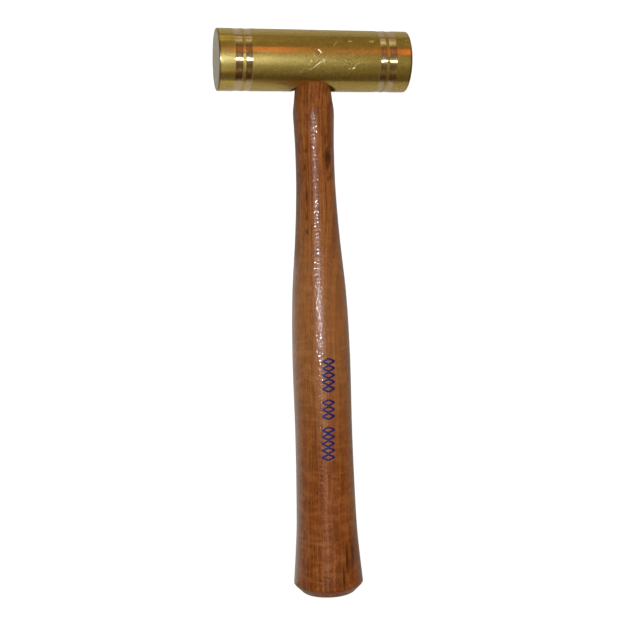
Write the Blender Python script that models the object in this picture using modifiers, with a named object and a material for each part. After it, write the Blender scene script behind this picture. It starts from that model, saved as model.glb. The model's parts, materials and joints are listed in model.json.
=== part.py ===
"""A two-faced brass mallet lying on its side: a turned brass head on a turned hickory handle.

Metres, +Z up, +X along the head, +Y from the butt to the head. The origin is the middle of
the bounding box's base, so the mallet rests on z = 0 on the side of its head and its butt.
"""

import math

import bmesh
import bpy
from mathutils import Matrix

INCH = 0.0254
GAP = 0.0003  # clearance between pieces that touch

# Head: a bar turned to length, with its faces' rims broken and two shallow bands near each end
HEAD_RADIUS = 0.625 * INCH
HEAD_LENGTH = 4 * INCH
RIM_CHAMFER = 0.0006
BAND_DEPTH = 0.00012
OUTER_BAND = (0.0386, 0.0425)  # from the middle of the head, inner edge and outer edge
INNER_BAND = (0.0338, 0.0371)

# Eye: a bore from below for the tenon, a countersunk mouth, and a smaller hole out of the top
EYE_RADIUS = 0.375 * INCH
EYE_MOUTH_RADIUS = 0.0123
EYE_FLOOR = 0.0075  # where the wide bore ends, above the head's axis
TOP_HOLE_RADIUS = 0.0061
PIN_RADIUS = 0.09375 * INCH
PIN_RISE = 0.0007  # the pin's axis, above the head's axis

# Handle: turned, its tenon and spigot stand in the eye, and the rest follows the grip's points
TENON_RADIUS = EYE_RADIUS - GAP
TENON_CHAMFER = 0.0006
SPIGOT_RADIUS = TOP_HOLE_RADIUS - GAP
NECK_START = 0.0128  # below the head's axis, where the tenon starts to swell
BUTT_CHAMFER = 0.0047
BUTT_EDGE = 0.2777
GRIP_STEPS = 44
# distance below the head's axis, radius
GRIP = (
    (NECK_START, TENON_RADIUS),
    (0.0210, 0.01018),
    (0.0268, 0.01085),
    (0.0335, 0.01068),
    (0.0470, 0.01029),
    (0.0680, 0.01049),
    (0.0920, 0.01180),
    (0.1240, 0.01439),
    (0.1560, 0.01538),
    (0.2000, 0.01526),
    (0.2449, 0.01608),
    (0.2620, 0.01719),
    (BUTT_EDGE, 0.01858),
)

# Wedge: a steel blade across the head's axis, driven into a kerf in the spigot
WEDGE_WIDTH = 0.0090
WEDGE_TOP_THICKNESS = 0.0022
WEDGE_TIP_THICKNESS = 0.0006
WEDGE_LENGTH = 0.0085

ROUND_STEPS = 96
HANDLE_ROUND_STEPS = 64
SMALL_ROUND_STEPS = 48

# At rest the side of the head and the butt's edge both touch the floor
BUTT_RADIUS = GRIP[-1][1]
REST_TILT = math.asin((HEAD_RADIUS - BUTT_RADIUS) / BUTT_EDGE)
BUTT_END = BUTT_EDGE + BUTT_CHAMFER
REACH_TO_BUTT = (
    BUTT_END * math.cos(REST_TILT)
    + (BUTT_RADIUS - BUTT_CHAMFER) * abs(math.sin(REST_TILT))
)
HEAD_Y = (REACH_TO_BUTT - HEAD_RADIUS) / 2

ALONG_X = (0, math.pi / 2, 0)
ALONG_Y = (-math.pi / 2, 0, 0)
ALONG_Z = (0, 0, 0)


def clear_scene():
    for old in list(bpy.data.objects):
        bpy.data.objects.remove(old, do_unlink=True)


def collection_named(name):
    made = bpy.data.collections.new(name)
    bpy.context.scene.collection.children.link(made)
    return made


def material_of(name, colour, metallic, roughness):
    made = bpy.data.materials.new(name)
    made.use_nodes = True
    shader = made.node_tree.nodes["Principled BSDF"]
    shader.inputs["Base Color"].default_value = (*colour, 1)
    shader.inputs["Metallic"].default_value = metallic
    shader.inputs["Roughness"].default_value = roughness
    return made


def object_from(name, bm, collection, parent, rotation=ALONG_Z):
    mesh = bpy.data.meshes.new(name)
    bm.to_mesh(mesh)
    bm.free()
    made = bpy.data.objects.new(name, mesh)
    made.rotation_euler = rotation
    made.parent = parent
    collection.objects.link(made)
    return made


def turned(name, profile, steps, collection, parent, rotation):
    """A solid turned about its own Z: profile is (radius, z) points, from the top down."""
    bm = bmesh.new()
    points = [bm.verts.new((radius, 0, z)) for radius, z in profile]
    for upper, lower in zip(points, points[1:]):
        bm.edges.new((upper, lower))
    made = object_from(name, bm, collection, parent, rotation)
    screw = made.modifiers.new("turn", "SCREW")
    screw.axis = "Z"
    screw.steps = steps
    screw.render_steps = steps
    screw.use_merge_vertices = True
    screw.merge_threshold = 0.00001
    screw.use_smooth_shade = True
    return made


def rod(name, radius, length, steps, collection, parent, rotation):
    half = length / 2
    profile = ((0, half), (radius, half), (radius, -half), (0, -half))
    return turned(name, profile, steps, collection, parent, rotation)


def cross_rod(name, radius, collection, parent):
    """A rod on the cross pin's axis, from side to side and beyond the head."""
    made = rod(name, radius, 3 * HEAD_RADIUS, SMALL_ROUND_STEPS, collection, parent, ALONG_Z)
    made.location.y = PIN_RISE
    return made


def as_cutter(made):
    made.hide_render = True
    made.display_type = "WIRE"
    return made


def combine(made, operation, other):
    boolean = made.modifiers.new(other.name, "BOOLEAN")
    boolean.operation = operation
    boolean.solver = "EXACT"
    boolean.object = other


def band_profile(inner, outer):
    """The points of one shallow band on the head's upper half, from the top down."""
    floor = HEAD_RADIUS - BAND_DEPTH
    return [
        (HEAD_RADIUS, outer),
        (floor, outer - BAND_DEPTH),
        (floor, inner + BAND_DEPTH),
        (HEAD_RADIUS, inner),
    ]


def head_profile():
    half = HEAD_LENGTH / 2
    upper = [
        (0, half),
        (HEAD_RADIUS - RIM_CHAMFER, half),
        (HEAD_RADIUS, half - RIM_CHAMFER),
        *band_profile(*OUTER_BAND),
        *band_profile(*INNER_BAND),
    ]
    lower = [(radius, -z) for radius, z in reversed(upper)]
    return upper + lower


def eye_profile():
    """The eye's bore about Z, its top hole up; the 45 degree mouth opens at the bottom."""
    beyond = HEAD_RADIUS + 0.002
    mouth_depth = HEAD_RADIUS + EYE_RADIUS - EYE_MOUTH_RADIUS
    return [
        (0, beyond),
        (TOP_HOLE_RADIUS, beyond),
        (TOP_HOLE_RADIUS, EYE_FLOOR),
        (EYE_RADIUS, EYE_FLOOR),
        (EYE_RADIUS, -mouth_depth),
        (EYE_MOUTH_RADIUS + beyond - HEAD_RADIUS, -beyond),
        (0, -beyond),
    ]


def make_head(parts, cutters, root, brass):
    head = turned("brass_head", head_profile(), ROUND_STEPS, parts, root, ALONG_X)
    head.data.materials.append(brass)
    eye = turned("eye_cutter", eye_profile(), SMALL_ROUND_STEPS, cutters, root, ALONG_Y)
    bore = cross_rod("pin_bore_cutter", PIN_RADIUS + GAP, cutters, root)
    combine(head, "DIFFERENCE", as_cutter(eye))
    combine(head, "DIFFERENCE", as_cutter(bore))
    return bore


def make_pin(parts, flush, root, brass):
    """The cross pin, its ends ground flush with the head's side."""
    pin = cross_rod("cross_pin", PIN_RADIUS, parts, root)
    pin.data.materials.append(brass)
    combine(pin, "INTERSECT", flush)


def grip_radius(distance):
    """The handle's radius there, on a cubic with its slopes from the neighbouring points."""
    places = [place for place, _ in GRIP]
    radii = [radius for _, radius in GRIP]
    last = len(GRIP) - 1

    def slope(i):
        before, after = max(i - 1, 0), min(i + 1, last)
        return (radii[after] - radii[before]) / (places[after] - places[before])

    k = next((i for i in range(last) if distance <= places[i + 1]), last - 1)
    span = places[k + 1] - places[k]
    t = (distance - places[k]) / span
    return (
        radii[k] * (1 + 2 * t) * (1 - t) ** 2
        + radii[k + 1] * (3 - 2 * t) * t**2
        + span * (slope(k) * t * (1 - t) ** 2 - slope(k + 1) * t**2 * (1 - t))
    )


def handle_profile():
    """(radius, height) points from above the head's crest down to the butt."""
    above = HEAD_RADIUS + 0.002
    shoulder = EYE_FLOOR - GAP
    points = [
        (0, above),
        (SPIGOT_RADIUS, above),
        (SPIGOT_RADIUS, shoulder),
        (TENON_RADIUS - TENON_CHAMFER, shoulder),
        (TENON_RADIUS, shoulder - TENON_CHAMFER),
    ]
    for k in range(GRIP_STEPS + 1):
        # closer together at the neck, where the shape turns most
        distance = NECK_START + (BUTT_EDGE - NECK_START) * (k / GRIP_STEPS) ** 1.35
        points.append((grip_radius(distance), -distance))
    return points + [(BUTT_RADIUS - BUTT_CHAMFER, -BUTT_END), (0, -BUTT_END)]


def make_crest_cutter(flush, cutters, root):
    """Everything over the head's crest, for grinding the spigot flush with it."""
    bm = bmesh.new()
    bmesh.ops.create_cube(bm, size=2 * HEAD_RADIUS)
    bmesh.ops.translate(bm, verts=bm.verts, vec=(0, HEAD_RADIUS + EYE_FLOOR, 0))
    crest = as_cutter(object_from("crest_cutter", bm, cutters, root))
    combine(crest, "DIFFERENCE", flush)
    return crest


def make_handle(parts, cutters, flush, root, pin_bore, hickory):
    handle = turned("hickory_handle", handle_profile(), HANDLE_ROUND_STEPS, parts, root, ALONG_Y)
    handle.data.materials.append(hickory)
    kerf = wedge_shape("kerf_cutter", GAP, 0.003, cutters, root)
    combine(handle, "DIFFERENCE", make_crest_cutter(flush, cutters, root))
    combine(handle, "DIFFERENCE", pin_bore)
    combine(handle, "DIFFERENCE", as_cutter(kerf))


def wedge_shape(name, margin, above, collection, parent):
    """A tapered blade in the spigot: above is how far it stands over the head's crest."""
    top = HEAD_RADIUS + above
    tip = HEAD_RADIUS - WEDGE_LENGTH - margin
    growth = (WEDGE_TOP_THICKNESS - WEDGE_TIP_THICKNESS) / WEDGE_LENGTH
    bm = bmesh.new()
    bmesh.ops.create_cube(bm, size=1)
    for vertex in bm.verts:
        y = top if vertex.co.y > 0 else tip
        thickness = WEDGE_TOP_THICKNESS + growth * (y - HEAD_RADIUS) + 2 * margin
        x = math.copysign(thickness / 2, vertex.co.x)
        z = math.copysign(WEDGE_WIDTH / 2 + margin, vertex.co.z)
        vertex.co = (x, y, z)
    return object_from(name, bm, collection, parent)


def make_wedge(parts, flush, root, steel):
    """The wedge, ground flush with the head's crest."""
    wedge = wedge_shape("steel_wedge", 0, 0.002, parts, root)
    wedge.data.materials.append(steel)
    combine(wedge, "INTERSECT", flush)


def main():
    clear_scene()
    parts = collection_named("brass_mallet")
    cutters = collection_named("cutters")
    brass = material_of("brass", (0.62, 0.46, 0.16), 1.0, 0.30)
    hickory = material_of("hickory", (0.36, 0.17, 0.08), 0.0, 0.35)
    steel = material_of("steel", (0.45, 0.44, 0.42), 1.0, 0.40)

    root = bpy.data.objects.new("mallet_axes", None)
    root.matrix_world = (
        Matrix.Translation((0, HEAD_Y, HEAD_RADIUS)) @ Matrix.Rotation(REST_TILT, 4, "X")
    )
    parts.objects.link(root)
    flush = as_cutter(
        rod("flush_form", HEAD_RADIUS, HEAD_LENGTH / 2, ROUND_STEPS, cutters, root, ALONG_X)
    )
    pin_bore = make_head(parts, cutters, root, brass)
    make_handle(parts, cutters, flush, root, pin_bore, hickory)
    make_pin(parts, flush, root, brass)
    make_wedge(parts, flush, root, steel)


main()
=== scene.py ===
"""Looks of the brass mallet: a fine turned brass head, a varnished hickory handle, pin and wedge.

Every piece is built in the mallet's own axes, with X along the head, Y from the butt to the head's
crest and Z out of the side that lies upward, from the head's middle. One matrix then places it.
"""

import json
import math

import bmesh
import bpy
import numpy as np
from mathutils import Matrix, Vector


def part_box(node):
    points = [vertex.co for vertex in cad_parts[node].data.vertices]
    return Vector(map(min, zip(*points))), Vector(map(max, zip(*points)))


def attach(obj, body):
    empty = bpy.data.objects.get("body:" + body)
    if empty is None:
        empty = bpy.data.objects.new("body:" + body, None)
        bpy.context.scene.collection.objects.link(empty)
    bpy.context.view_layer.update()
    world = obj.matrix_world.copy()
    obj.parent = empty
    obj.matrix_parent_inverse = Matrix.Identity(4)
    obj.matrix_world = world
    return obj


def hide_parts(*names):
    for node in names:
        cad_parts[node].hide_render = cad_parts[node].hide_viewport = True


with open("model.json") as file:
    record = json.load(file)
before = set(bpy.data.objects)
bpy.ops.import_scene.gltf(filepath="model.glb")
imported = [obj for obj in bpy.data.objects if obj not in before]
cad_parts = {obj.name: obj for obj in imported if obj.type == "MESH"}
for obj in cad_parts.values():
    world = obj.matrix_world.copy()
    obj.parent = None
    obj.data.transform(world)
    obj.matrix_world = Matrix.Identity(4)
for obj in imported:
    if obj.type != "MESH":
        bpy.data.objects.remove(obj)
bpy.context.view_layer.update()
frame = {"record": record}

MM = 0.001

# The mallet's axes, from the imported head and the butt's mount
head_low, head_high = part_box("brass_head")
HEAD_RADIUS = (head_high.z - head_low.z) / 2
HEAD_LENGTH = head_high.x - head_low.x
HEAD_MIDDLE = (head_low + head_high) / 2
BUTT_AXIS = next(m for m in frame["record"]["mounts"] if m["name"] == "butt_end")["axis"]
REST_TILT = math.atan2(-BUTT_AXIS[2], -BUTT_AXIS[1])
AXES = Matrix.Translation(HEAD_MIDDLE) @ Matrix.Rotation(REST_TILT, 4, "X")
TO_MALLET = AXES.inverted()

# Head
RIM_CHAMFER = 0.6 * MM
BAND_DEPTH = 0.12 * MM
BANDS = ((33.8 * MM, 37.1 * MM), (38.6 * MM, 42.5 * MM))  # inner and outer edge of each
FEED_PITCH = 0.30 * MM  # of the fine turned grooves in the bands
FEED_DEPTH = 0.034 * MM
HEAD_STEPS = 160
EYE_RADIUS = 9.525 * MM
EYE_MOUTH_RADIUS = 12.3 * MM
EYE_FLOOR = 7.5 * MM
TOP_HOLE_RADIUS = 6.1 * MM
PIN_RADIUS = 2.38125 * MM
PIN_RISE = 0.7 * MM
PUNCH_FLOOR = 1.40 * MM  # from the punch mark's middle to a corner of its floor
PUNCH_TOP = 3.10 * MM  # the same as far above the head's side as the floor is below it
PUNCH_DEPTH = 0.28 * MM

# Handle: distance below the head's axis and radius, in mm
GRIP = np.array((
    (12.8, 9.225),
    (21.0, 10.18),
    (26.8, 10.85),
    (33.5, 10.68),
    (47.0, 10.29),
    (68.0, 10.49),
    (92.0, 11.80),
    (124.0, 14.39),
    (156.0, 15.38),
    (200.0, 15.26),
    (244.9, 16.08),
    (262.0, 17.19),
    (277.7, 18.58),
)) * MM
BUTT_CHAMFER = 4.7 * MM
BUTT_EDGE = GRIP[-1, 0]
BUTT_ROUNDING = 0.35 * MM
FIT = 0.08 * MM  # visible seam between pieces that fit tightly
PIN_FIT = 0.03 * MM
SPIGOT_RADIUS = TOP_HOLE_RADIUS - FIT
TENON_GAP = 0.3 * MM
TENON_RADIUS = EYE_RADIUS - TENON_GAP
TENON_CHAMFER = 0.6 * MM
HANDLE_STEPS = 96
HANDLE_RINGS = 300

# Wedge
WEDGE_WIDTH = 9.0 * MM
WEDGE_TOP_THICKNESS = 2.2 * MM
WEDGE_TIP_THICKNESS = 0.6 * MM
WEDGE_LENGTH = 8.5 * MM

# Dents and scratches on the head: x and angle round the head of the middle, angle of the stroke,
# length, width and depth, in mm and degrees
HEAD_MARKS = (
    (-0.9, -20.3, 37, 10.4, 0.12, 0.03),
    (-0.1, -17.2, 36, 4.6, 0.60, 0.14),
    (-3.7, -13.8, 41, 1.3, 0.36, 0.08),
    (2.9, -12.0, -60, 2.0, 0.24, 0.05),
    (9.5, 20.6, 53, 5.6, 0.24, 0.05),
    (17.5, 26.6, -5, 2.3, 0.85, 0.20),
    (29.7, 27.6, 99, 1.5, 0.80, 0.20),
    (28.4, 27.0, 95, 1.1, 0.70, 0.17),
    (48.3, 31.9, 10, 1.2, 0.90, 0.24),
    (16.9, -26.2, 30, 1.7, 0.36, 0.08),
    (18.7, -25.4, 42, 1.8, 0.36, 0.08),
    (20.9, -17.0, 37, 5.4, 0.15, 0.03),
    (14.7, -11.5, -38, 1.7, 0.30, 0.07),
    (-38.0, -3.6, 90, 1.3, 1.30, 0.36),
    (33.2, -73.3, -5, 7.4, 0.24, 0.04),
    (-8.5, -33.0, 20, 2.4, 0.18, 0.05),
    (-22.0, 150.0, 35, 5.0, 0.28, 0.08),
    (12.0, 128.0, -50, 4.2, 0.25, 0.07),
    (28.0, -120.0, 15, 3.0, 0.40, 0.10),
    (-12.0, -98.0, 65, 2.6, 0.30, 0.08),
    (5.0, 98.0, -20, 6.0, 0.20, 0.06),
)

# View: turn about the mallet's Y, X and Z, then the head's middle seen from the camera
VIEW_YAW = math.radians(11.908)
VIEW_PITCH = math.radians(1.788)
VIEW_ROLL = math.radians(1.868)
VIEW_OFFSET = Vector((-0.437, 133.037, -518.195)) * MM
VIEW_LENS = 56.448  # mm, on a sensor 36 mm wide

LAMP_PLACE = Vector((-120, -90, 510)) * MM  # in the mallet's axes
LAMP_SIZE = 34 * MM


# ---------------------------------------------------------------- shader nodes


class Shading:
    """A material's node tree, with short calls for the nodes used here. Lengths are in mm."""

    def __init__(self, name):
        self.material = bpy.data.materials.new(name)
        self.material.use_nodes = True
        self.tree = self.material.node_tree
        self.shader = self.tree.nodes["Principled BSDF"]
        coordinates = self.node("ShaderNodeTexCoord")
        self.point = self.stretched(coordinates.outputs["Object"], (1000, 1000, 1000),
                                    TO_MALLET.translation / MM, (-REST_TILT, 0, 0))
        self.x, self.y, self.z = self.split(self.point)

    def node(self, kind, **settings):
        made = self.tree.nodes.new(kind)
        for key, value in settings.items():
            setattr(made, key, value)
        return made

    def put(self, socket, value):
        if isinstance(value, bpy.types.NodeSocket):
            self.tree.links.new(value, socket)
        else:
            socket.default_value = value

    def split(self, vector):
        parts = self.node("ShaderNodeSeparateXYZ")
        self.put(parts.inputs[0], vector)
        return tuple(parts.outputs)

    def joined(self, x, y, z):
        made = self.node("ShaderNodeCombineXYZ")
        for socket, value in zip(made.inputs, (x, y, z)):
            self.put(socket, value)
        return made.outputs[0]

    def maths(self, operation, a, b=0.0, c=0.0):
        made = self.node("ShaderNodeMath", operation=operation)
        for socket, value in zip(made.inputs, (a, b, c)):
            self.put(socket, value)
        return made.outputs[0]

    def stretched(self, vector, scale, location=(0, 0, 0), rotation=(0, 0, 0)):
        made = self.node("ShaderNodeMapping")
        self.put(made.inputs["Vector"], vector)
        made.inputs["Scale"].default_value = scale
        made.inputs["Location"].default_value = location
        made.inputs["Rotation"].default_value = rotation
        return made.outputs[0]

    def noise(self, vector, detail=2.0, roughness=0.5, distortion=0.0, output="Fac"):
        made = self.node("ShaderNodeTexNoise")
        self.put(made.inputs["Vector"], vector)
        made.inputs["Scale"].default_value = 1.0
        made.inputs["Detail"].default_value = detail
        made.inputs["Roughness"].default_value = roughness
        made.inputs["Distortion"].default_value = distortion
        return made.outputs[output]

    def span(self, value, low, high, to_low=0.0, to_high=1.0, smooth=False):
        """The value's place between low and high, as a number from to_low to to_high."""
        made = self.node("ShaderNodeMapRange")
        made.interpolation_type = "SMOOTHSTEP" if smooth else "LINEAR"
        for socket, number in zip(made.inputs, (value, low, high, to_low, to_high)):
            self.put(socket, number)
        return made.outputs[0]

    def mix(self, factor, a, b, blend="MIX"):
        made = self.node("ShaderNodeMix", data_type="RGBA", blend_type=blend)
        self.put(made.inputs["Factor"], factor)
        for socket, colour in ((made.inputs[6], a), (made.inputs[7], b)):
            self.put(socket, colour if isinstance(colour, bpy.types.NodeSocket) else (*colour, 1))
        return made.outputs[2]

    def bump(self, height, distance, strength=1.0, under=None):
        """A bump of that height in metres where the value goes from 0 to 1."""
        made = self.node("ShaderNodeBump")
        made.inputs["Strength"].default_value = strength
        made.inputs["Distance"].default_value = distance
        self.put(made.inputs["Height"], height)
        if under is not None:
            self.put(made.inputs["Normal"], under)
        return made.outputs["Normal"]

    def finish(self, **sockets):
        for name, value in sockets.items():
            self.put(self.shader.inputs[name.replace("_", " ")], value)
        return self.material


def around_head(s):
    """Coordinates that unroll the head: x, length around, and radius, in mm."""
    angle = s.maths("ARCTAN2", s.y, s.z)
    around = s.maths("MULTIPLY", angle, HEAD_RADIUS / MM)
    square = s.maths("ADD", s.maths("MULTIPLY", s.y, s.y), s.maths("MULTIPLY", s.z, s.z))
    return around, s.maths("SQRT", square)


def scratch_lines(s, around, turn, spacing, seed):
    """Thin straight hairlines in one direction, broken up along their length."""
    flat = s.joined(s.x, around, seed)
    turned = s.stretched(flat, (1 / spacing, 0.05, 1), rotation=(0, 0, turn))
    lines = s.noise(turned, detail=3.0, roughness=0.75)
    return s.span(lines, 0.66, 0.72)


def brass_shading():
    """Polished brass between countless fine pits, with hairlines, faint turning, thin tarnish and painted
    shade at both end edges.
    """
    s = Shading("satin_brass")
    around, radius = around_head(s)
    cloud = s.noise(s.stretched(s.point, (0.09, 0.16, 0.16)), detail=4.0, roughness=0.6)
    speckle = s.noise(s.stretched(s.point, (2.4, 2.4, 2.4)), detail=3.0, roughness=0.7)
    pits = s.noise(s.stretched(s.point, (8.0, 9.5, 9.5)), detail=1.0, roughness=0.5)
    turning = s.noise(s.joined(s.maths("MULTIPLY", s.x, 7.0), s.maths("MULTIPLY", around, 0.06), 0.0),
                      detail=1.0, roughness=0.5)
    hairs = scratch_lines(s, around, 0.9, 0.30, 3.0)
    crossing = scratch_lines(s, around, -0.5, 0.36, 8.0)
    scratches = s.maths("MAXIMUM", hairs, crossing)

    polished = s.mix(s.span(cloud, 0.35, 0.68), (0.80, 0.500, 0.038), (0.70, 0.410, 0.025))
    polished = s.mix(s.span(speckle, 0.30, 0.42, 0.30, 0.0), polished, (0.50, 0.31, 0.06))
    pitted = s.span(s.maths("ADD", pits, s.span(speckle, 0.3, 0.7, -0.04, 0.04)), 0.455, 0.525)
    gold = s.mix(pitted, polished, (0.80, 0.62, 0.115))
    gold = s.mix(s.span(speckle, 0.52, 0.66, 0.0, 0.35), gold, (0.98, 0.84, 0.30))
    gold = s.mix(s.maths("MULTIPLY", scratches, 0.30), gold, (0.95, 0.82, 0.50))
    # painted shade: dark brown over the last 1.25 mm towards each end edge of the head
    rim_shade = s.span(s.maths("ABSOLUTE", s.x), HEAD_LENGTH / 2 / MM - 1.25, HEAD_LENGTH / 2 / MM - 0.70)
    gold = s.mix(s.maths("MULTIPLY", rim_shade, 0.75), gold, (0.22, 0.13, 0.045))

    rough = s.maths("ADD", s.span(pitted, 0.0, 1.0, 0.12, 0.47), s.span(cloud, 0.3, 0.7, -0.02, 0.02))
    rough = s.maths("ADD", rough, s.maths("MULTIPLY", scratches, 0.08))

    grain = s.bump(speckle, 0.006 * MM, 0.7)
    lathe = s.bump(turning, 0.003 * MM, 0.5, grain)
    cut = s.bump(s.maths("SUBTRACT", 1.0, scratches), 0.004 * MM, 0.6, lathe)
    rings = s.noise(s.joined(s.maths("MULTIPLY", radius, 4.0), 0.0, 0.0), detail=2.0)
    face = s.span(s.maths("ABSOLUTE", s.x), HEAD_LENGTH / 2 / MM - 0.05, HEAD_LENGTH / 2 / MM - 0.02)
    faced = s.bump(s.maths("MULTIPLY", rings, face), 0.03 * MM, 0.8, cut)
    gold = s.mix(face, gold, (0.56, 0.49, 0.32))
    return s.finish(Base_Color=gold, Metallic=1.0, Roughness=rough, Normal=faced, Coat_Weight=1.0,
                    Coat_Roughness=0.33, Coat_IOR=1.8)


def band_shading():
    """The turned bands: brighter cut metal, smooth along each groove."""
    s = Shading("turned_brass")
    around = around_head(s)[0]
    streaks = s.noise(s.joined(s.maths("MULTIPLY", s.x, 5.0), s.maths("MULTIPLY", around, 0.10), 4.0),
                      detail=3.0, roughness=0.6)
    cloud = s.noise(s.stretched(s.point, (0.3, 0.3, 0.3)), detail=3.0)
    colour = s.mix(s.span(streaks, 0.35, 0.65), (0.95, 0.74, 0.43), (0.82, 0.60, 0.32))
    colour = s.mix(s.span(cloud, 0.45, 0.7, 0.0, 0.35), colour, (0.60, 0.38, 0.17))
    rough = s.span(streaks, 0.3, 0.7, 0.22, 0.27)
    # the feed grooves spread light along the head, and hardly round it
    around_axis = s.node("ShaderNodeTangent", direction_type="RADIAL", axis="X")
    return s.finish(Base_Color=colour, Metallic=1.0, Roughness=rough,
                    Normal=s.bump(streaks, 0.003 * MM, 0.5), Anisotropic=0.95,
                    Anisotropic_Rotation=0.25, Tangent=around_axis.outputs["Tangent"],
                    Coat_Weight=1.0, Coat_Roughness=0.16, Coat_IOR=1.8)


def bare_shading():
    """Fresh metal laid open in the dents and scratches."""
    s = Shading("scratched_brass")
    ragged = s.noise(s.stretched(s.point, (5.0, 5.0, 5.0)), detail=2.0)
    gold = s.mix(s.span(ragged, 0.35, 0.65), (0.99, 0.92, 0.60), (0.90, 0.76, 0.38))
    return s.finish(Base_Color=gold, Metallic=1.0, Roughness=s.span(ragged, 0.3, 0.7, 0.40, 0.54),
                    Normal=s.bump(ragged, 0.01 * MM, 0.6))


def punched_shading():
    """The punch mark in the pin: light walls and a darker brown floor."""
    s = Shading("punched_brass")
    speckle = s.noise(s.stretched(s.point, (3.0, 3.0, 3.0)), detail=3.0, roughness=0.7)
    gold = s.mix(s.span(speckle, 0.35, 0.7), (0.92, 0.80, 0.46), (0.78, 0.62, 0.28))
    level = s.maths("ADD", s.z, s.maths("MULTIPLY", s.y, PIN_RISE / HEAD_RADIUS))
    sunk = s.span(level, HEAD_RADIUS / MM - 0.25, HEAD_RADIUS / MM - 0.20, 1.0, 0.0)
    gold = s.mix(sunk, gold, (0.50, 0.31, 0.13))
    return s.finish(Base_Color=gold, Metallic=1.0, Roughness=s.span(speckle, 0.3, 0.7, 0.42, 0.55),
                    Normal=s.bump(speckle, 0.006 * MM, 0.7))


def steel_shading():
    """The wedge's steel, ground flush and left bare."""
    s = Shading("ground_steel")
    lines = s.noise(s.stretched(s.point, (1.5, 6.0, 9.0)), detail=3.0, roughness=0.7)
    rust = s.noise(s.stretched(s.point, (0.9, 0.9, 0.9)), detail=4.0)
    grey = s.mix(s.span(lines, 0.3, 0.7), (0.40, 0.39, 0.37), (0.56, 0.55, 0.53))
    grey = s.mix(s.span(rust, 0.55, 0.75, 0.0, 0.6), grey, (0.20, 0.12, 0.07))
    return s.finish(Base_Color=grey, Metallic=1.0, Roughness=s.span(lines, 0.3, 0.7, 0.32, 0.50),
                    Normal=s.bump(lines, 0.01 * MM, 0.7))


# Dark streaks in the wood: middle, half sizes across, along and deep, strength, all in mm
WOOD_STREAKS = (
    ((-6.3, -48.5, 8.1), (0.75, 1.8, 2.0), 0.75),
    ((-7.0, -56.8, 7.5), (0.75, 2.3, 2.0), 0.80),
    ((-6.8, -72.5, 8.2), (0.65, 5.8, 2.0), 0.95),
    ((-7.1, -82.9, 8.7), (0.75, 2.2, 2.0), 0.80),
    ((-7.4, -90.7, 9.0), (0.85, 2.0, 2.0), 0.90),
    ((5.1, -51.8, 8.9), (3.0, 4.4, 4.5), 1.00),
    ((4.2, -57.0, 9.4), (1.1, 3.4, 2.2), 0.75),
    ((6.7, -45.0, 8.0), (1.3, 4.2, 2.6), 0.60),
    ((6.9, -262.0, 15.8), (1.1, 10.5, 3.0), 0.95),
    ((4.6, -271.5, 17.6), (1.2, 6.5, 3.0), 0.95),
    ((10.4, -261.0, 13.6), (1.1, 9.0, 3.0), 0.85),
    ((-9.2, -20.0, 4.0), (0.5, 3.0, 3.0), 0.30),
)
# Places where the rings bend round a knot: middle, half sizes across, along and deep, bend in years
SWIRLS = (
    ((5.0, -52.0, 9.0), (4.2, 15.0, 7.0), 1.5),
    ((8.6, -268.0, 15.5), (4.5, 18.0, 7.0), 1.3),
)
PITH = (-30.0, -22.0)  # X and Z of the tree's centre below the grip, in mm
RING_SPACING = 2.1
PEEL_DEPTH = 0.270 * MM  # of the orange peel in the varnish
PEEL_UNDER = 0.170 * MM  # of the same unevenness in the wood below it
COAT_ROUGHNESS = 0.07


def orange_peel(s):
    return s.noise(s.stretched(s.point, (0.75, 0.85, 0.75)), detail=0.5)


def nearness(s, point, middle, sizes):
    """1 at the middle of an ellipsoid, 0 from its skin outwards."""
    scale = tuple(1 / size for size in sizes)
    place = tuple(-p * k for p, k in zip(middle, scale))
    length = s.node("ShaderNodeVectorMath", operation="LENGTH")
    s.put(length.inputs[0], s.stretched(point, scale, location=place))
    return s.span(length.outputs["Value"], 0.15, 1.0, 1.0, 0.0, smooth=True)


def wood_rings(s, point):
    """Place across one year's growth, from 0 to 1, and the number of the year."""
    x, y, z = s.split(point)
    lean = s.maths("MULTIPLY", y, 0.010)
    across = s.maths("SUBTRACT", s.maths("ADD", x, lean), PITH[0])
    flare = s.span(y, -235, -280, 1.0, 0.84)
    deep = s.maths("SUBTRACT", s.maths("MULTIPLY", z, flare), PITH[1])
    square = s.maths("ADD", s.maths("MULTIPLY", across, across), s.maths("MULTIPLY", deep, deep))
    years = s.maths("DIVIDE", s.maths("SQRT", square), RING_SPACING)
    wander = s.noise(s.joined(years, s.maths("MULTIPLY", y, 0.004), 0.0), detail=1.0)
    years = s.maths("ADD", years, s.span(wander, 0.0, 1.0, -1.3, 1.3))
    for middle, sizes, bend in SWIRLS:
        near = nearness(s, s.point, middle, sizes)
        years = s.maths("ADD", years, s.maths("MULTIPLY", near, bend))
    return s.maths("FRACT", years), s.maths("FLOOR", years)


def wood_streaks(s, point):
    """How dark the few mineral streaks and the knot are at this point, from 0 to 1."""
    found = 0.0
    for middle, sizes, strength in WOOD_STREAKS:
        near = nearness(s, point, middle, tuple(1.25 * size for size in sizes))
        found = s.maths("MAXIMUM", found, s.maths("MULTIPLY", near, strength))
    return found


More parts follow.
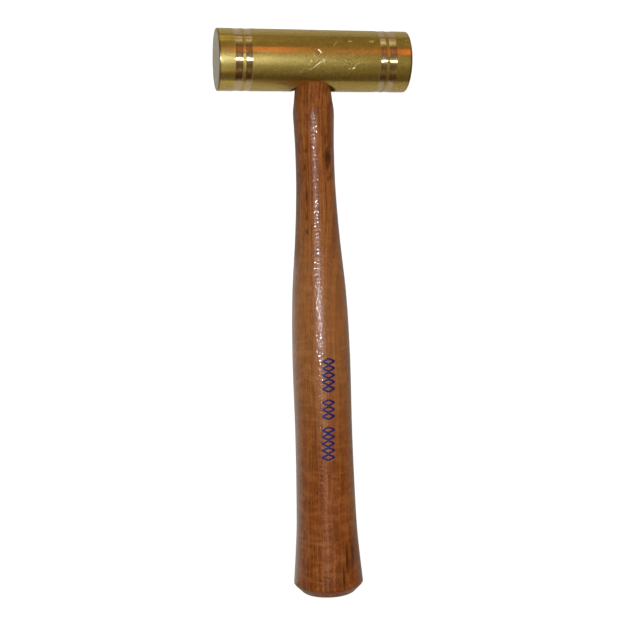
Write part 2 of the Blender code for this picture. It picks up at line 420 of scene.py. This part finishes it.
def hickory_shading():
    """Stained hickory under gloss varnish: growth rings, pores, fibre and a shimmer across the grain."""
    s = Shading("varnished_hickory")
    bend = s.noise(s.stretched(s.point, (0.030, 0.012, 0.030)), output="Color")
    offset = s.node("ShaderNodeVectorMath", operation="MULTIPLY_ADD")
    s.put(offset.inputs[0], bend)
    offset.inputs[1].default_value = (5.0, 0.0, 5.0)
    s.put(offset.inputs[2], s.point)
    point = offset.outputs[0]

    place, year = wood_rings(s, point)
    early = s.span(place, 0.0, 0.10, 0.0, 1.0)
    early = s.maths("MULTIPLY", early, s.span(place, 0.22, 0.55, 1.0, 0.0, smooth=True))
    tone = s.noise(s.joined(s.maths("MULTIPLY", year, 0.73), 0.0, 0.0), detail=0.0)

    fibre = s.noise(s.stretched(point, (1.5, 0.07, 1.5)), detail=5.0, roughness=0.66)
    fine = s.noise(s.stretched(point, (6.0, 0.30, 6.0)), detail=2.0, roughness=0.6)
    pore = s.noise(s.stretched(point, (2.1, 0.42, 2.1)), detail=1.0, roughness=0.5)
    dashes = s.noise(s.stretched(point, (1.6, 0.70, 1.6)), detail=2.0, roughness=0.6)
    lines = s.noise(s.stretched(point, (1.15, 0.035, 1.15)), detail=2.0, roughness=0.6)
    shimmer = s.noise(s.stretched(point, (0.12, 0.27, 0.12)), detail=2.0, roughness=0.5, distortion=0.6)
    blotch = s.noise(s.stretched(point, (0.06, 0.020, 0.06)), detail=2.0)

    colour = s.mix(s.span(fibre, 0.40, 0.60), (0.155, 0.032, 0.004), (0.360, 0.115, 0.022))
    far = s.span(s.y, -150, -250)
    colour = s.mix(s.maths("MULTIPLY", far, 0.60), colour, (0.270, 0.055, 0.006))
    colour = s.mix(s.span(tone, 0.30, 0.70, 0.0, 0.45), colour, (0.235, 0.070, 0.017))
    colour = s.mix(s.maths("MULTIPLY", early, s.span(s.y, -170, -220, 0.52, 0.34)), colour,
                   (0.130, 0.036, 0.009))
    light = s.maths("MULTIPLY", s.span(place, 0.60, 0.95), s.span(dashes, 0.40, 0.66, 0.1, 0.6))
    colour = s.mix(light, colour, (0.410, 0.175, 0.050))
    pores = s.maths("MULTIPLY", s.span(pore, 0.55, 0.64), s.span(early, 0.0, 0.6, 0.22, 0.9))
    colour = s.mix(pores, colour, (0.070, 0.020, 0.006))
    colour = s.mix(s.span(fine, 0.55, 0.80, 0.0, 0.30), colour, (0.100, 0.030, 0.009))
    lined = s.maths("MULTIPLY", s.span(lines, 0.50, 0.64, 0.0, 0.55), s.span(s.x, 5.0, -1.0, 0.25, 1.0))
    colour = s.mix(lined, colour, (0.125, 0.032, 0.006))
    figured = s.span(s.y, -90, -150, 0.35, 1.0)
    paler = s.maths("MULTIPLY", s.span(shimmer, 0.50, 0.68, 0.0, 0.45), figured)
    colour = s.mix(paler, colour, (0.400, 0.150, 0.040))
    darker = s.maths("MULTIPLY", s.span(shimmer, 0.32, 0.48, 0.45, 0.0), figured)
    colour = s.mix(darker, colour, (0.150, 0.040, 0.008))
    colour = s.mix(s.span(blotch, 0.45, 0.70, 0.0, 0.30), colour, (0.290, 0.085, 0.022))
    middle = s.maths("MULTIPLY", s.span(s.y, -60, -110), s.span(s.y, -215, -160))
    colour = s.mix(s.maths("MULTIPLY", middle, 0.22), colour, (0.460, 0.230, 0.085))
    ragged = s.maths("MULTIPLY", wood_streaks(s, s.point), s.span(fibre, 0.25, 0.65, 0.55, 1.0))
    colour = s.mix(ragged, colour, (0.045, 0.014, 0.006))

    rough = s.span(fibre, 0.3, 0.7, 0.28, 0.36)
    peel = orange_peel(s)
    slow = s.noise(s.stretched(s.point, (0.22, 0.10, 0.22)), detail=1.0)
    skin = s.bump(slow, 0.15 * MM, 1.0)
    skin = s.bump(peel, PEEL_DEPTH, 1.0, skin)
    skin = s.bump(pores, 0.010 * MM, 0.5, skin)
    grain = s.maths("SUBTRACT", fibre, s.maths("MULTIPLY", pores, 0.6))
    grain = s.bump(grain, 0.02 * MM, 0.6, s.bump(peel, PEEL_UNDER, 1.0))
    return s.finish(Base_Color=colour, Roughness=rough, Normal=grain, Coat_Weight=0.45,
                    Coat_Roughness=COAT_ROUGHNESS, Coat_IOR=1.5, Coat_Normal=skin,
                    Specular_IOR_Level=0.34)


def ink_shading():
    """Blue stamping ink under the varnish, a little thin in places."""
    s = Shading("stamped_ink")
    thin = s.noise(s.stretched(s.point, (1.8, 1.2, 1.8)), detail=4.0, roughness=0.7)
    fibre = s.noise(s.stretched(s.point, (3.0, 0.12, 3.0)), detail=3.0)
    colour = s.mix(s.span(thin, 0.45, 0.72), (0.007, 0.006, 0.095), (0.020, 0.014, 0.120))
    colour = s.mix(s.span(fibre, 0.60, 0.80, 0.0, 0.5), colour, (0.120, 0.060, 0.090))
    peel = orange_peel(s)
    return s.finish(Base_Color=colour, Roughness=s.span(thin, 0.3, 0.7, 0.35, 0.50), Coat_Weight=0.25,
                    Coat_Roughness=COAT_ROUGHNESS, Coat_Normal=s.bump(peel, PEEL_DEPTH, 1.0),
                    Specular_IOR_Level=0.30)


# ---------------------------------------------------------------- mesh helpers


def new_object(name, mesh):
    made = bpy.data.objects.new(name, mesh)
    made.matrix_world = AXES
    bpy.context.scene.collection.objects.link(made)
    return made


def object_from(name, bm):
    bmesh.ops.recalc_face_normals(bm, faces=bm.faces)
    mesh = bpy.data.meshes.new(name)
    bm.to_mesh(mesh)
    bm.free()
    return new_object(name, mesh)


def rings_to_bmesh(rings, bm=None):
    """A closed skin over rings of points, each end closed by one face or by a fan to a point."""
    bm = bm or bmesh.new()
    rows = [[bm.verts.new(point) for point in ring] for ring in rings]
    for upper, lower in zip(rows, rows[1:]):
        if len(upper) == 1 or len(lower) == 1:
            tip, row = (upper[0], lower) if len(upper) == 1 else (lower[0], upper)
            for a, b in zip(row, row[1:] + row[:1]):
                bm.faces.new((tip, a, b))
            continue
        for i in range(len(upper)):
            j = (i + 1) % len(upper)
            bm.faces.new((upper[i], upper[j], lower[j], lower[i]))
    for row in (rows[0], rows[-1]):
        if len(row) > 1:
            bm.faces.new(row)
    return bm


def ring_points(radius, steps):
    angles = np.arange(steps) * 2 * np.pi / steps
    return radius * np.cos(angles), radius * np.sin(angles)


def turned(name, profile, steps, axis):
    """A solid turned about an axis: profile is (place along it, radius) points, radius 0 at both ends."""
    rings = []
    for place, radius in profile:
        if radius == 0:
            pair = (np.zeros(1), np.zeros(1))
        else:
            pair = ring_points(radius, steps)
        columns = [pair[0], pair[1]]
        columns.insert("XYZ".index(axis), np.full(len(pair[0]), place))
        rings.append(np.stack(columns, axis=1))
    return object_from(name, rings_to_bmesh(rings))


def rod(name, radius, length, steps, axis):
    half = length / 2
    return turned(name, ((-half, 0), (-half, radius), (half, radius), (half, 0)), steps, axis)


def combine(made, operation, other):
    """Applies a boolean and removes its other object."""
    boolean = made.modifiers.new("combine", "BOOLEAN")
    boolean.operation = operation
    boolean.solver = "EXACT"
    boolean.use_self = other.name == "mark_cutter"
    boolean.object = other
    apply_modifiers(made)
    bpy.data.objects.remove(other)


def apply_modifiers(made):
    bpy.context.view_layer.update()
    graph = bpy.context.evaluated_depsgraph_get()
    mesh = bpy.data.meshes.new_from_object(made.evaluated_get(graph))
    made.modifiers.clear()
    made.data = mesh


def clean(made, sharp_degrees):
    bm = bmesh.new()
    bm.from_mesh(made.data)
    bmesh.ops.remove_doubles(bm, verts=bm.verts, dist=0.002 * MM)
    bmesh.ops.dissolve_degenerate(bm, edges=bm.edges, dist=0.001 * MM)
    bm.to_mesh(made.data)
    bm.free()
    made.data.shade_smooth()
    made.data.set_sharp_from_angle(angle=math.radians(sharp_degrees))


def present(made, node, slot, *materials):
    """Gives a piece its materials and its body, and hides its CAD node. The slot argument is not used."""
    made.data.materials.clear()
    for material in materials:
        made.data.materials.append(material)
    made.data.transform(AXES)
    made.matrix_world = Matrix.Identity(4)
    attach(made, "root")
    if node:
        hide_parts(node)
    return made


# ---------------------------------------------------------------- the head


def band_profile(inner, outer):
    """One turned band, from its inner edge out: sloped walls and fine grooves from the tool's feed."""
    floor = HEAD_RADIUS - BAND_DEPTH
    start, end = inner + BAND_DEPTH, outer - BAND_DEPTH
    grooves = round((end - start) / FEED_PITCH)
    points = [(inner, HEAD_RADIUS), (start, floor)]
    for k in range(1, 6 * grooves):
        wave = 0.5 - 0.5 * math.cos(2 * math.pi * k / 6)
        points.append((start + (end - start) * k / (6 * grooves), floor - FEED_DEPTH * wave))
    return points + [(end, floor), (outer, HEAD_RADIUS)]


def head_profile():
    """(x, radius) points from the middle of the head out to the middle of the face."""
    half = HEAD_LENGTH / 2
    points = [(x * MM, HEAD_RADIUS) for x in np.arange(0.75, 33, 1.5)]
    for inner, outer in BANDS:
        points += band_profile(inner, outer)
    points += [(x * MM, HEAD_RADIUS) for x in (43.5, 45.0, 46.5, 48.0, 49.2)]
    flat = half - RIM_CHAMFER
    for k in range(5):
        angle = math.radians(22.5 * k)
        round_corner = (RIM_CHAMFER * math.sin(angle), RIM_CHAMFER * math.cos(angle))
        points.append((flat + round_corner[0], HEAD_RADIUS - RIM_CHAMFER + round_corner[1]))
    points += [(half, HEAD_RADIUS * share) for share in (0.80, 0.60, 0.40, 0.20, 0.0)]
    return points


def eye_cutter():
    """The eye's bore, its countersunk mouth below and its smaller hole out of the top."""
    beyond = HEAD_RADIUS + 2 * MM
    mouth = HEAD_RADIUS + EYE_RADIUS - EYE_MOUTH_RADIUS
    profile = (
        (-beyond, 0),
        (-beyond, EYE_MOUTH_RADIUS + beyond - HEAD_RADIUS),
        (-mouth, EYE_RADIUS),
        (EYE_FLOOR, EYE_RADIUS),
        (EYE_FLOOR, TOP_HOLE_RADIUS),
        (beyond, TOP_HOLE_RADIUS),
        (beyond, 0),
    )
    return turned("eye_cutter", profile, 128, "Y")


def mark_cutter():
    """Every dent and scratch as a V-shaped groove with pointed ends, bent round the head's side."""
    bm = bmesh.new()
    lift = 0.05
    for x, angle, stroke, length, width, depth in HEAD_MARKS:
        c, s = math.cos(math.radians(stroke)), math.sin(math.radians(stroke))

        def placed(u, v, w):
            turn = math.radians(angle) + (u * s + v * c) * MM / HEAD_RADIUS
            radius = HEAD_RADIUS + w * MM
            return (x + u * c - v * s) * MM, radius * math.sin(turn), radius * math.cos(turn)

        rings = [[placed(-length / 2, 0, lift)]]
        for share in np.linspace(-0.94, 0.94, 11):
            size = math.sqrt(1 - share**2)
            half = width / 2 * size * (depth * size + lift) / (depth * size)
            u = share * length / 2
            rings.append([placed(u, -half, lift), placed(u, 0, -depth * size), placed(u, half, lift)])
        rings.append([placed(length / 2, 0, lift)])
        rings_to_bmesh(rings, bm)
    return object_from("mark_cutter", bm)


def pin_bore_cutter(radius):
    made = rod("pin_bore_cutter", radius, 3 * HEAD_RADIUS, 96, "Z")
    made.data.transform(Matrix.Translation((0, PIN_RISE, 0)))
    return made


def make_head():
    right = head_profile()
    profile = [(-x, radius) for x, radius in reversed(right)] + right
    head = turned("turned_head", profile, HEAD_STEPS, "X")
    combine(head, "DIFFERENCE", eye_cutter())
    combine(head, "DIFFERENCE", pin_bore_cutter(PIN_RADIUS + PIN_FIT))
    combine(head, "DIFFERENCE", mark_cutter())
    clean(head, 30)
    present(head, "brass_head", "brass", brass_shading(), band_shading(), bare_shading())
    for face in head.data.polygons:
        x, y, z = TO_MALLET @ face.center
        radius = math.hypot(y, z)
        in_band = any(inner < abs(x) < outer for inner, outer in BANDS)
        in_eye = abs(x) < 13 * MM and abs(y) > 8 * MM and abs(z) < 13 * MM
        sunk = HEAD_RADIUS - 0.35 * MM < radius < HEAD_RADIUS - 0.008 * MM
        if in_band:
            face.material_index = int(radius < HEAD_RADIUS - 0.5 * BAND_DEPTH)
        elif sunk and not in_eye and abs(x) < HEAD_LENGTH / 2 - RIM_CHAMFER:
            face.material_index = 2
    return head


def flush_form():
    """The head's side alone, for grinding the pin and the wedge flush with it."""
    return rod("flush_form", HEAD_RADIUS, HEAD_LENGTH / 3, 4 * HEAD_STEPS, "X")


def make_pin():
    """The cross pin, flush at both sides, with a square punch mark set cornerwise in its end."""
    pin = pin_bore_cutter(PIN_RADIUS)
    pin.name = "pin_through_head"
    combine(pin, "INTERSECT", flush_form())
    bm = bmesh.new()
    # sloped walls down to a diamond floor, square to the head's side at the pin
    lean = Matrix.Rotation(-PIN_RISE / HEAD_RADIUS, 4, "X")
    place = lean @ Matrix.Translation((0, 0, HEAD_RADIUS))
    bmesh.ops.create_cone(bm, cap_ends=True, segments=4, radius1=PUNCH_FLOOR, radius2=PUNCH_TOP,
                          depth=2 * PUNCH_DEPTH, matrix=place)
    combine(pin, "DIFFERENCE", object_from("punch_cutter", bm))
    clean(pin, 10)
    present(pin, "cross_pin", "brass", bpy.data.materials["satin_brass"], punched_shading())
    for face in pin.data.polygons:
        x, y, z = TO_MALLET @ face.center
        sunk = math.hypot(y, z) < HEAD_RADIUS - 0.02 * MM
        face.material_index = int(sunk and z > 0 and math.hypot(x, y - PIN_RISE) < 0.95 * PIN_RADIUS)
    return pin


# ---------------------------------------------------------------- the handle


def grip_radius(distance):
    """The handle's radius there, on a cubic with its slopes from the neighbouring points."""
    places, radii = GRIP[:, 0], GRIP[:, 1]
    last = len(places) - 1

    def slope(i):
        before, after = max(i - 1, 0), min(i + 1, last)
        return (radii[after] - radii[before]) / (places[after] - places[before])

    k = min(int(np.searchsorted(places, distance, side="right")) - 1, last - 1)
    span = places[k + 1] - places[k]
    t = (distance - places[k]) / span
    return (
        radii[k] * (1 + 2 * t) * (1 - t) ** 2
        + radii[k + 1] * (3 - 2 * t) * t**2
        + span * (slope(k) * t * (1 - t) ** 2 - slope(k + 1) * t**2 * (1 - t))
    )


def grip_ring(place, radius):
    x, z = ring_points(radius, HANDLE_STEPS)
    return np.stack([x, np.full(HANDLE_STEPS, place), z], axis=1)


def handle_rings():
    rings = []
    for share in (0.2, 0.4, 0.6, 0.8, 1.0):
        cap = grip_ring(0, SPIGOT_RADIUS * share)
        cap[:, 1] = np.sqrt((HEAD_RADIUS - 0.05 * MM) ** 2 - cap[:, 2] ** 2)
        rings.append(cap)
    shoulder = EYE_FLOOR - TENON_GAP
    rings.append(grip_ring(shoulder, SPIGOT_RADIUS))
    rings.append(grip_ring(shoulder, TENON_RADIUS - TENON_CHAMFER))
    rings.append(grip_ring(shoulder - TENON_CHAMFER, TENON_RADIUS))
    for distance in np.linspace(GRIP[0, 0], BUTT_EDGE - BUTT_ROUNDING, HANDLE_RINGS):
        rings.append(grip_ring(-distance, grip_radius(distance)))
    for share in np.linspace(0.02, 1, 14):
        # the chamfer, with its two edges eased
        inward = share * BUTT_CHAMFER
        ease = BUTT_ROUNDING * 0.5 * (math.exp(-14 * share) + math.exp(-14 * (1 - share)))
        rings.append(grip_ring(-BUTT_EDGE - inward + ease, GRIP[-1, 1] - inward - ease * 0.4))
    for share in (0.85, 0.6, 0.3):
        rings.append(grip_ring(-BUTT_EDGE - BUTT_CHAMFER, (GRIP[-1, 1] - BUTT_CHAMFER) * share))
    return rings


def wedge_shape(name, margin, above):
    """The tapered blade across the spigot: above is how far it stands over the head's crest."""
    top = HEAD_RADIUS + above
    tip = HEAD_RADIUS - WEDGE_LENGTH - margin
    growth = (WEDGE_TOP_THICKNESS - WEDGE_TIP_THICKNESS) / WEDGE_LENGTH
    bm = bmesh.new()
    bmesh.ops.create_cube(bm, size=1)
    for vertex in bm.verts:
        y = top if vertex.co.y > 0 else tip
        thickness = WEDGE_TOP_THICKNESS + growth * (y - HEAD_RADIUS) + 2 * margin
        x = math.copysign(thickness / 2, vertex.co.x)
        z = math.copysign(WEDGE_WIDTH / 2 + margin, vertex.co.z)
        vertex.co = (x, y, z)
    return object_from(name, bm)


def make_handle():
    handle = object_from("turned_handle", rings_to_bmesh(handle_rings()))
    combine(handle, "DIFFERENCE", pin_bore_cutter(PIN_RADIUS + FIT))
    combine(handle, "DIFFERENCE", wedge_shape("kerf_cutter", 0.06 * MM, 3 * MM))
    clean(handle, 35)
    return present(handle, "hickory_handle", "hickory", hickory_shading())


def make_wedge():
    wedge = wedge_shape("driven_wedge", 0, 2 * MM)
    combine(wedge, "INTERSECT", flush_form())
    bevel = wedge.modifiers.new("eased", "BEVEL")
    bevel.width = 0.08 * MM
    bevel.segments = 2
    bevel.limit_method = "ANGLE"
    apply_modifiers(wedge)
    clean(wedge, 35)
    return present(wedge, "steel_wedge", "steel", steel_shading())


# ---------------------------------------------------------------- the stamped ornament

STAMP_START = 156.5 * MM  # below the head's axis
STAMP_LENGTH = 53.5 * MM
STAMP_HALF_WIDTH = 3.3 * MM
STAMP_GROUPS = (5, 3, 5)
STAMP_STROKE = 1.0 * MM
INK_HEIGHT = 0.03 * MM


def stamp_axis(distance):
    """The stamp runs a little across the handle: its middle's X at that distance."""
    share = (distance - STAMP_START) / STAMP_LENGTH
    return (0.58 - 1.80 * share) * MM


def on_handle(across, distance):
    """The point on the handle's upper surface, raised by the ink's thickness."""
    x = stamp_axis(distance) + across
    return x, -distance, math.sqrt(grip_radius(distance) ** 2 - x * x) + INK_HEIGHT


def ink_stroke(bm, start, end):
    """One straight stroke of ink, from and to points given across and along the handle."""
    (x0, d0), (x1, d1) = start, end
    length = math.hypot(x1 - x0, d1 - d0)
    side = ((d1 - d0) / length * STAMP_STROKE / 2, -(x1 - x0) / length * STAMP_STROKE / 2)
    rows = []
    for share in np.linspace(0, 1, 9):
        x, d = x0 + (x1 - x0) * share, d0 + (d1 - d0) * share
        rows.append([bm.verts.new(on_handle(x + k * side[0], d + k * side[1])) for k in (-1, 0, 1)])
    for upper, lower in zip(rows, rows[1:]):
        for i in range(2):
            bm.faces.new((upper[i], upper[i + 1], lower[i + 1], lower[i]))


def make_stamp():
    """A generic printed ornament: three groups of small hollow lozenges in a row."""
    bm = bmesh.new()
    places = sum(STAMP_GROUPS) + len(STAMP_GROUPS) - 1
    pitch = STAMP_LENGTH / places
    place = 0.5
    for group in STAMP_GROUPS:
        for _ in range(group):
            middle = STAMP_START + pitch * place
            corners = [(-STAMP_HALF_WIDTH, middle), (0, middle - 0.42 * pitch),
                       (STAMP_HALF_WIDTH, middle), (0, middle + 0.42 * pitch)]
            for start, end in zip(corners, corners[1:] + corners[:1]):
                ink_stroke(bm, start, end)
            place += 1
        place += 1
    stamp = object_from("printed_ornament", bm)
    thick = stamp.modifiers.new("thickness", "SOLIDIFY")
    thick.thickness = INK_HEIGHT
    thick.offset = -1
    apply_modifiers(stamp)
    stamp.data.shade_smooth()
    stamp.data.set_sharp_from_angle(angle=math.radians(40))
    return present(stamp, None, None, ink_shading())


# ---------------------------------------------------------------- floor, light and camera

PALE = (0.95, 0.95, 0.94)


def make_floor():
    """A pale floor, which the metal and the varnish mirror dimmer than the camera sees it."""
    bm = bmesh.new()
    bmesh.ops.create_grid(bm, x_segments=1, y_segments=1, size=6)
    mesh = bpy.data.meshes.new("floor")
    bm.to_mesh(mesh)
    bm.free()
    floor = bpy.data.objects.new("floor", mesh)
    bpy.context.scene.collection.objects.link(floor)
    material = bpy.data.materials.new("pale_floor")
    material.use_nodes = True
    tree = material.node_tree
    tree.nodes.clear()
    output = tree.nodes.new("ShaderNodeOutputMaterial")
    rays = tree.nodes.new("ShaderNodeLightPath")
    seen = tree.nodes.new("ShaderNodeBsdfDiffuse")
    seen.inputs["Color"].default_value = (0.30, 0.30, 0.30, 1)
    glow = tree.nodes.new("ShaderNodeEmission")
    glow.inputs["Color"].default_value = (*PALE, 1)
    glow.inputs["Strength"].default_value = 0.93
    both = tree.nodes.new("ShaderNodeAddShader")
    dim = tree.nodes.new("ShaderNodeBsdfDiffuse")
    dim.inputs["Color"].default_value = (0.43, 0.42, 0.37, 1)
    choice = tree.nodes.new("ShaderNodeMixShader")
    tree.links.new(seen.outputs[0], both.inputs[0])
    tree.links.new(glow.outputs[0], both.inputs[1])
    tree.links.new(rays.outputs["Is Camera Ray"], choice.inputs[0])
    tree.links.new(dim.outputs[0], choice.inputs[1])
    tree.links.new(both.outputs[0], choice.inputs[2])
    tree.links.new(choice.outputs[0], output.inputs["Surface"])
    mesh.materials.append(material)


def make_room():
    """A room that the pieces mirror as warm and dim, and that the camera sees as pale."""
    world = bpy.data.worlds.new("room")
    bpy.context.scene.world = world
    world.use_nodes = True
    tree = world.node_tree
    tree.nodes.clear()
    output = tree.nodes.new("ShaderNodeOutputWorld")
    background = tree.nodes.new("ShaderNodeBackground")
    rays = tree.nodes.new("ShaderNodeLightPath")
    coordinates = tree.nodes.new("ShaderNodeTexCoord")
    tilt = tree.nodes.new("ShaderNodeVectorMath")
    tilt.operation = "DOT_PRODUCT"
    tilt.inputs[1].default_value = (0, 0.2, 1.0)
    tree.links.new(coordinates.outputs["Generated"], tilt.inputs[0])
    ramp = tree.nodes.new("ShaderNodeValToRGB")
    ramp.color_ramp.interpolation = "EASE"
    stops = (
        (0.00, (0.034, 0.018, 0.005)),
        (0.22, (0.078, 0.045, 0.012)),
        (0.33, (0.115, 0.080, 0.028)),
        (0.60, (0.115, 0.082, 0.030)),
        (1.00, (0.130, 0.095, 0.040)),
    )
    while len(ramp.color_ramp.elements) < len(stops):
        ramp.color_ramp.elements.new(0.5)
    for element, (place, colour) in zip(ramp.color_ramp.elements, stops):
        element.position = place
        element.color = (*colour, 1)
    tree.links.new(tilt.outputs["Value"], ramp.inputs[0])
    mix = tree.nodes.new("ShaderNodeMix")
    mix.data_type = "RGBA"
    tree.links.new(rays.outputs["Is Camera Ray"], mix.inputs["Factor"])
    tree.links.new(ramp.outputs[0], mix.inputs[6])
    mix.inputs[7].default_value = (*PALE, 1)
    tree.links.new(mix.outputs[2], background.inputs["Color"])
    tree.links.new(background.outputs[0], output.inputs["Surface"])


def aim(obj, place, target):
    """Puts a lamp at a place and tips it about the mallet's X towards a target."""
    away = place - target
    turn = Matrix.Rotation(-math.atan2(away.y, away.z), 4, "X")
    obj.matrix_world = AXES @ Matrix.Translation(place) @ turn


def area_lamp(name, place, target, size, power, colour, shape="RECTANGLE"):
    lamp = bpy.data.lights.new(name, "AREA")
    lamp.shape = shape
    lamp.size, lamp.size_y = size
    lamp.energy = power
    lamp.color = colour
    made = bpy.data.objects.new(name, lamp)
    bpy.context.scene.collection.objects.link(made)
    made.visible_camera = False
    aim(made, place, target)
    return made


def make_lights():
    middle = Vector((0, -60 * MM, 0))
    area_lamp("key", LAMP_PLACE, middle, (LAMP_SIZE, LAMP_SIZE), 1.25, (0.92, 0.98, 1.07), "DISK")
    area_lamp("strip_over", Vector((-0.21, 0.035, 0.9)), middle, (0.06, 0.36), 0.16, (0.95, 0.98, 1.0))
    # warm cards and pale strips high over the crest's side, which the metal mirrors
    cards = (("card_near", 0.162, 0.07, 0.13), ("card_far", 0.455, 0.13, 0.34))
    for name, x, width, power in cards:
        area_lamp(name, Vector((x, 0.50, 1.0)), Vector((0, 0, 0)), (width, 0.40), power,
                  (1.0, 0.22, 0.10))
    for name, degrees, height in (("low", 79, 0.16), ("high", 64, 0.10)):
        angle = math.radians(degrees)
        for side, x, width, power in (("left", -0.24, 0.66, 0.30), ("right", 0.90, 0.70, 0.62)):
            place = Vector((x, math.sin(angle), math.cos(angle)))
            area_lamp("strip_%s_%s" % (name, side), place, Vector((0, 0, 0)), (width, height),
                      power, (1.0, 0.90, 0.58))
    # a pale card low over the butt's side, mirrored in the head's left end
    area_lamp("card_low", Vector((0.030, -0.84, 0.72)), Vector((0, 0, 0)), (0.08, 0.22), 0.085,
              (1.0, 0.93, 0.76))
    # a soft overhead panel, which only matt surfaces return
    panel = area_lamp("soft_panel", Vector((-0.25, -0.25, 1.2)), middle, (0.9, 0.9), 6.5,
                      (1.0, 0.96, 0.90))
    panel.visible_glossy = False
    # a pale card on the floor beside the handle, which its varnish mirrors along that edge
    bounce = area_lamp("card_beside", Vector((0, 0, 0)), middle, (0.036, 0.18), 0.008,
                       (1.0, 0.99, 0.95))
    facing_up = Matrix.Rotation(math.pi, 4, "X")
    bounce.matrix_world = Matrix.Translation((-0.0355, -0.06, 0.0008)) @ facing_up


def make_camera():
    turn = (
        Matrix.Rotation(VIEW_ROLL, 4, "Z")
        @ Matrix.Rotation(VIEW_PITCH, 4, "X")
        @ Matrix.Rotation(VIEW_YAW, 4, "Y")
    )
    lens = bpy.data.cameras.new("camera")
    lens.lens = VIEW_LENS
    lens.sensor_width = 36
    lens.clip_start = 0.01
    camera = bpy.data.objects.new("camera", lens)
    camera.matrix_world = AXES @ (Matrix.Translation(VIEW_OFFSET) @ turn).inverted()
    bpy.context.scene.collection.objects.link(camera)
    bpy.context.scene.camera = camera


make_camera()
make_head()
make_pin()
make_handle()
make_wedge()
make_stamp()
make_floor()
make_room()
make_lights()
bpy.context.scene.view_settings.view_transform = "Standard"
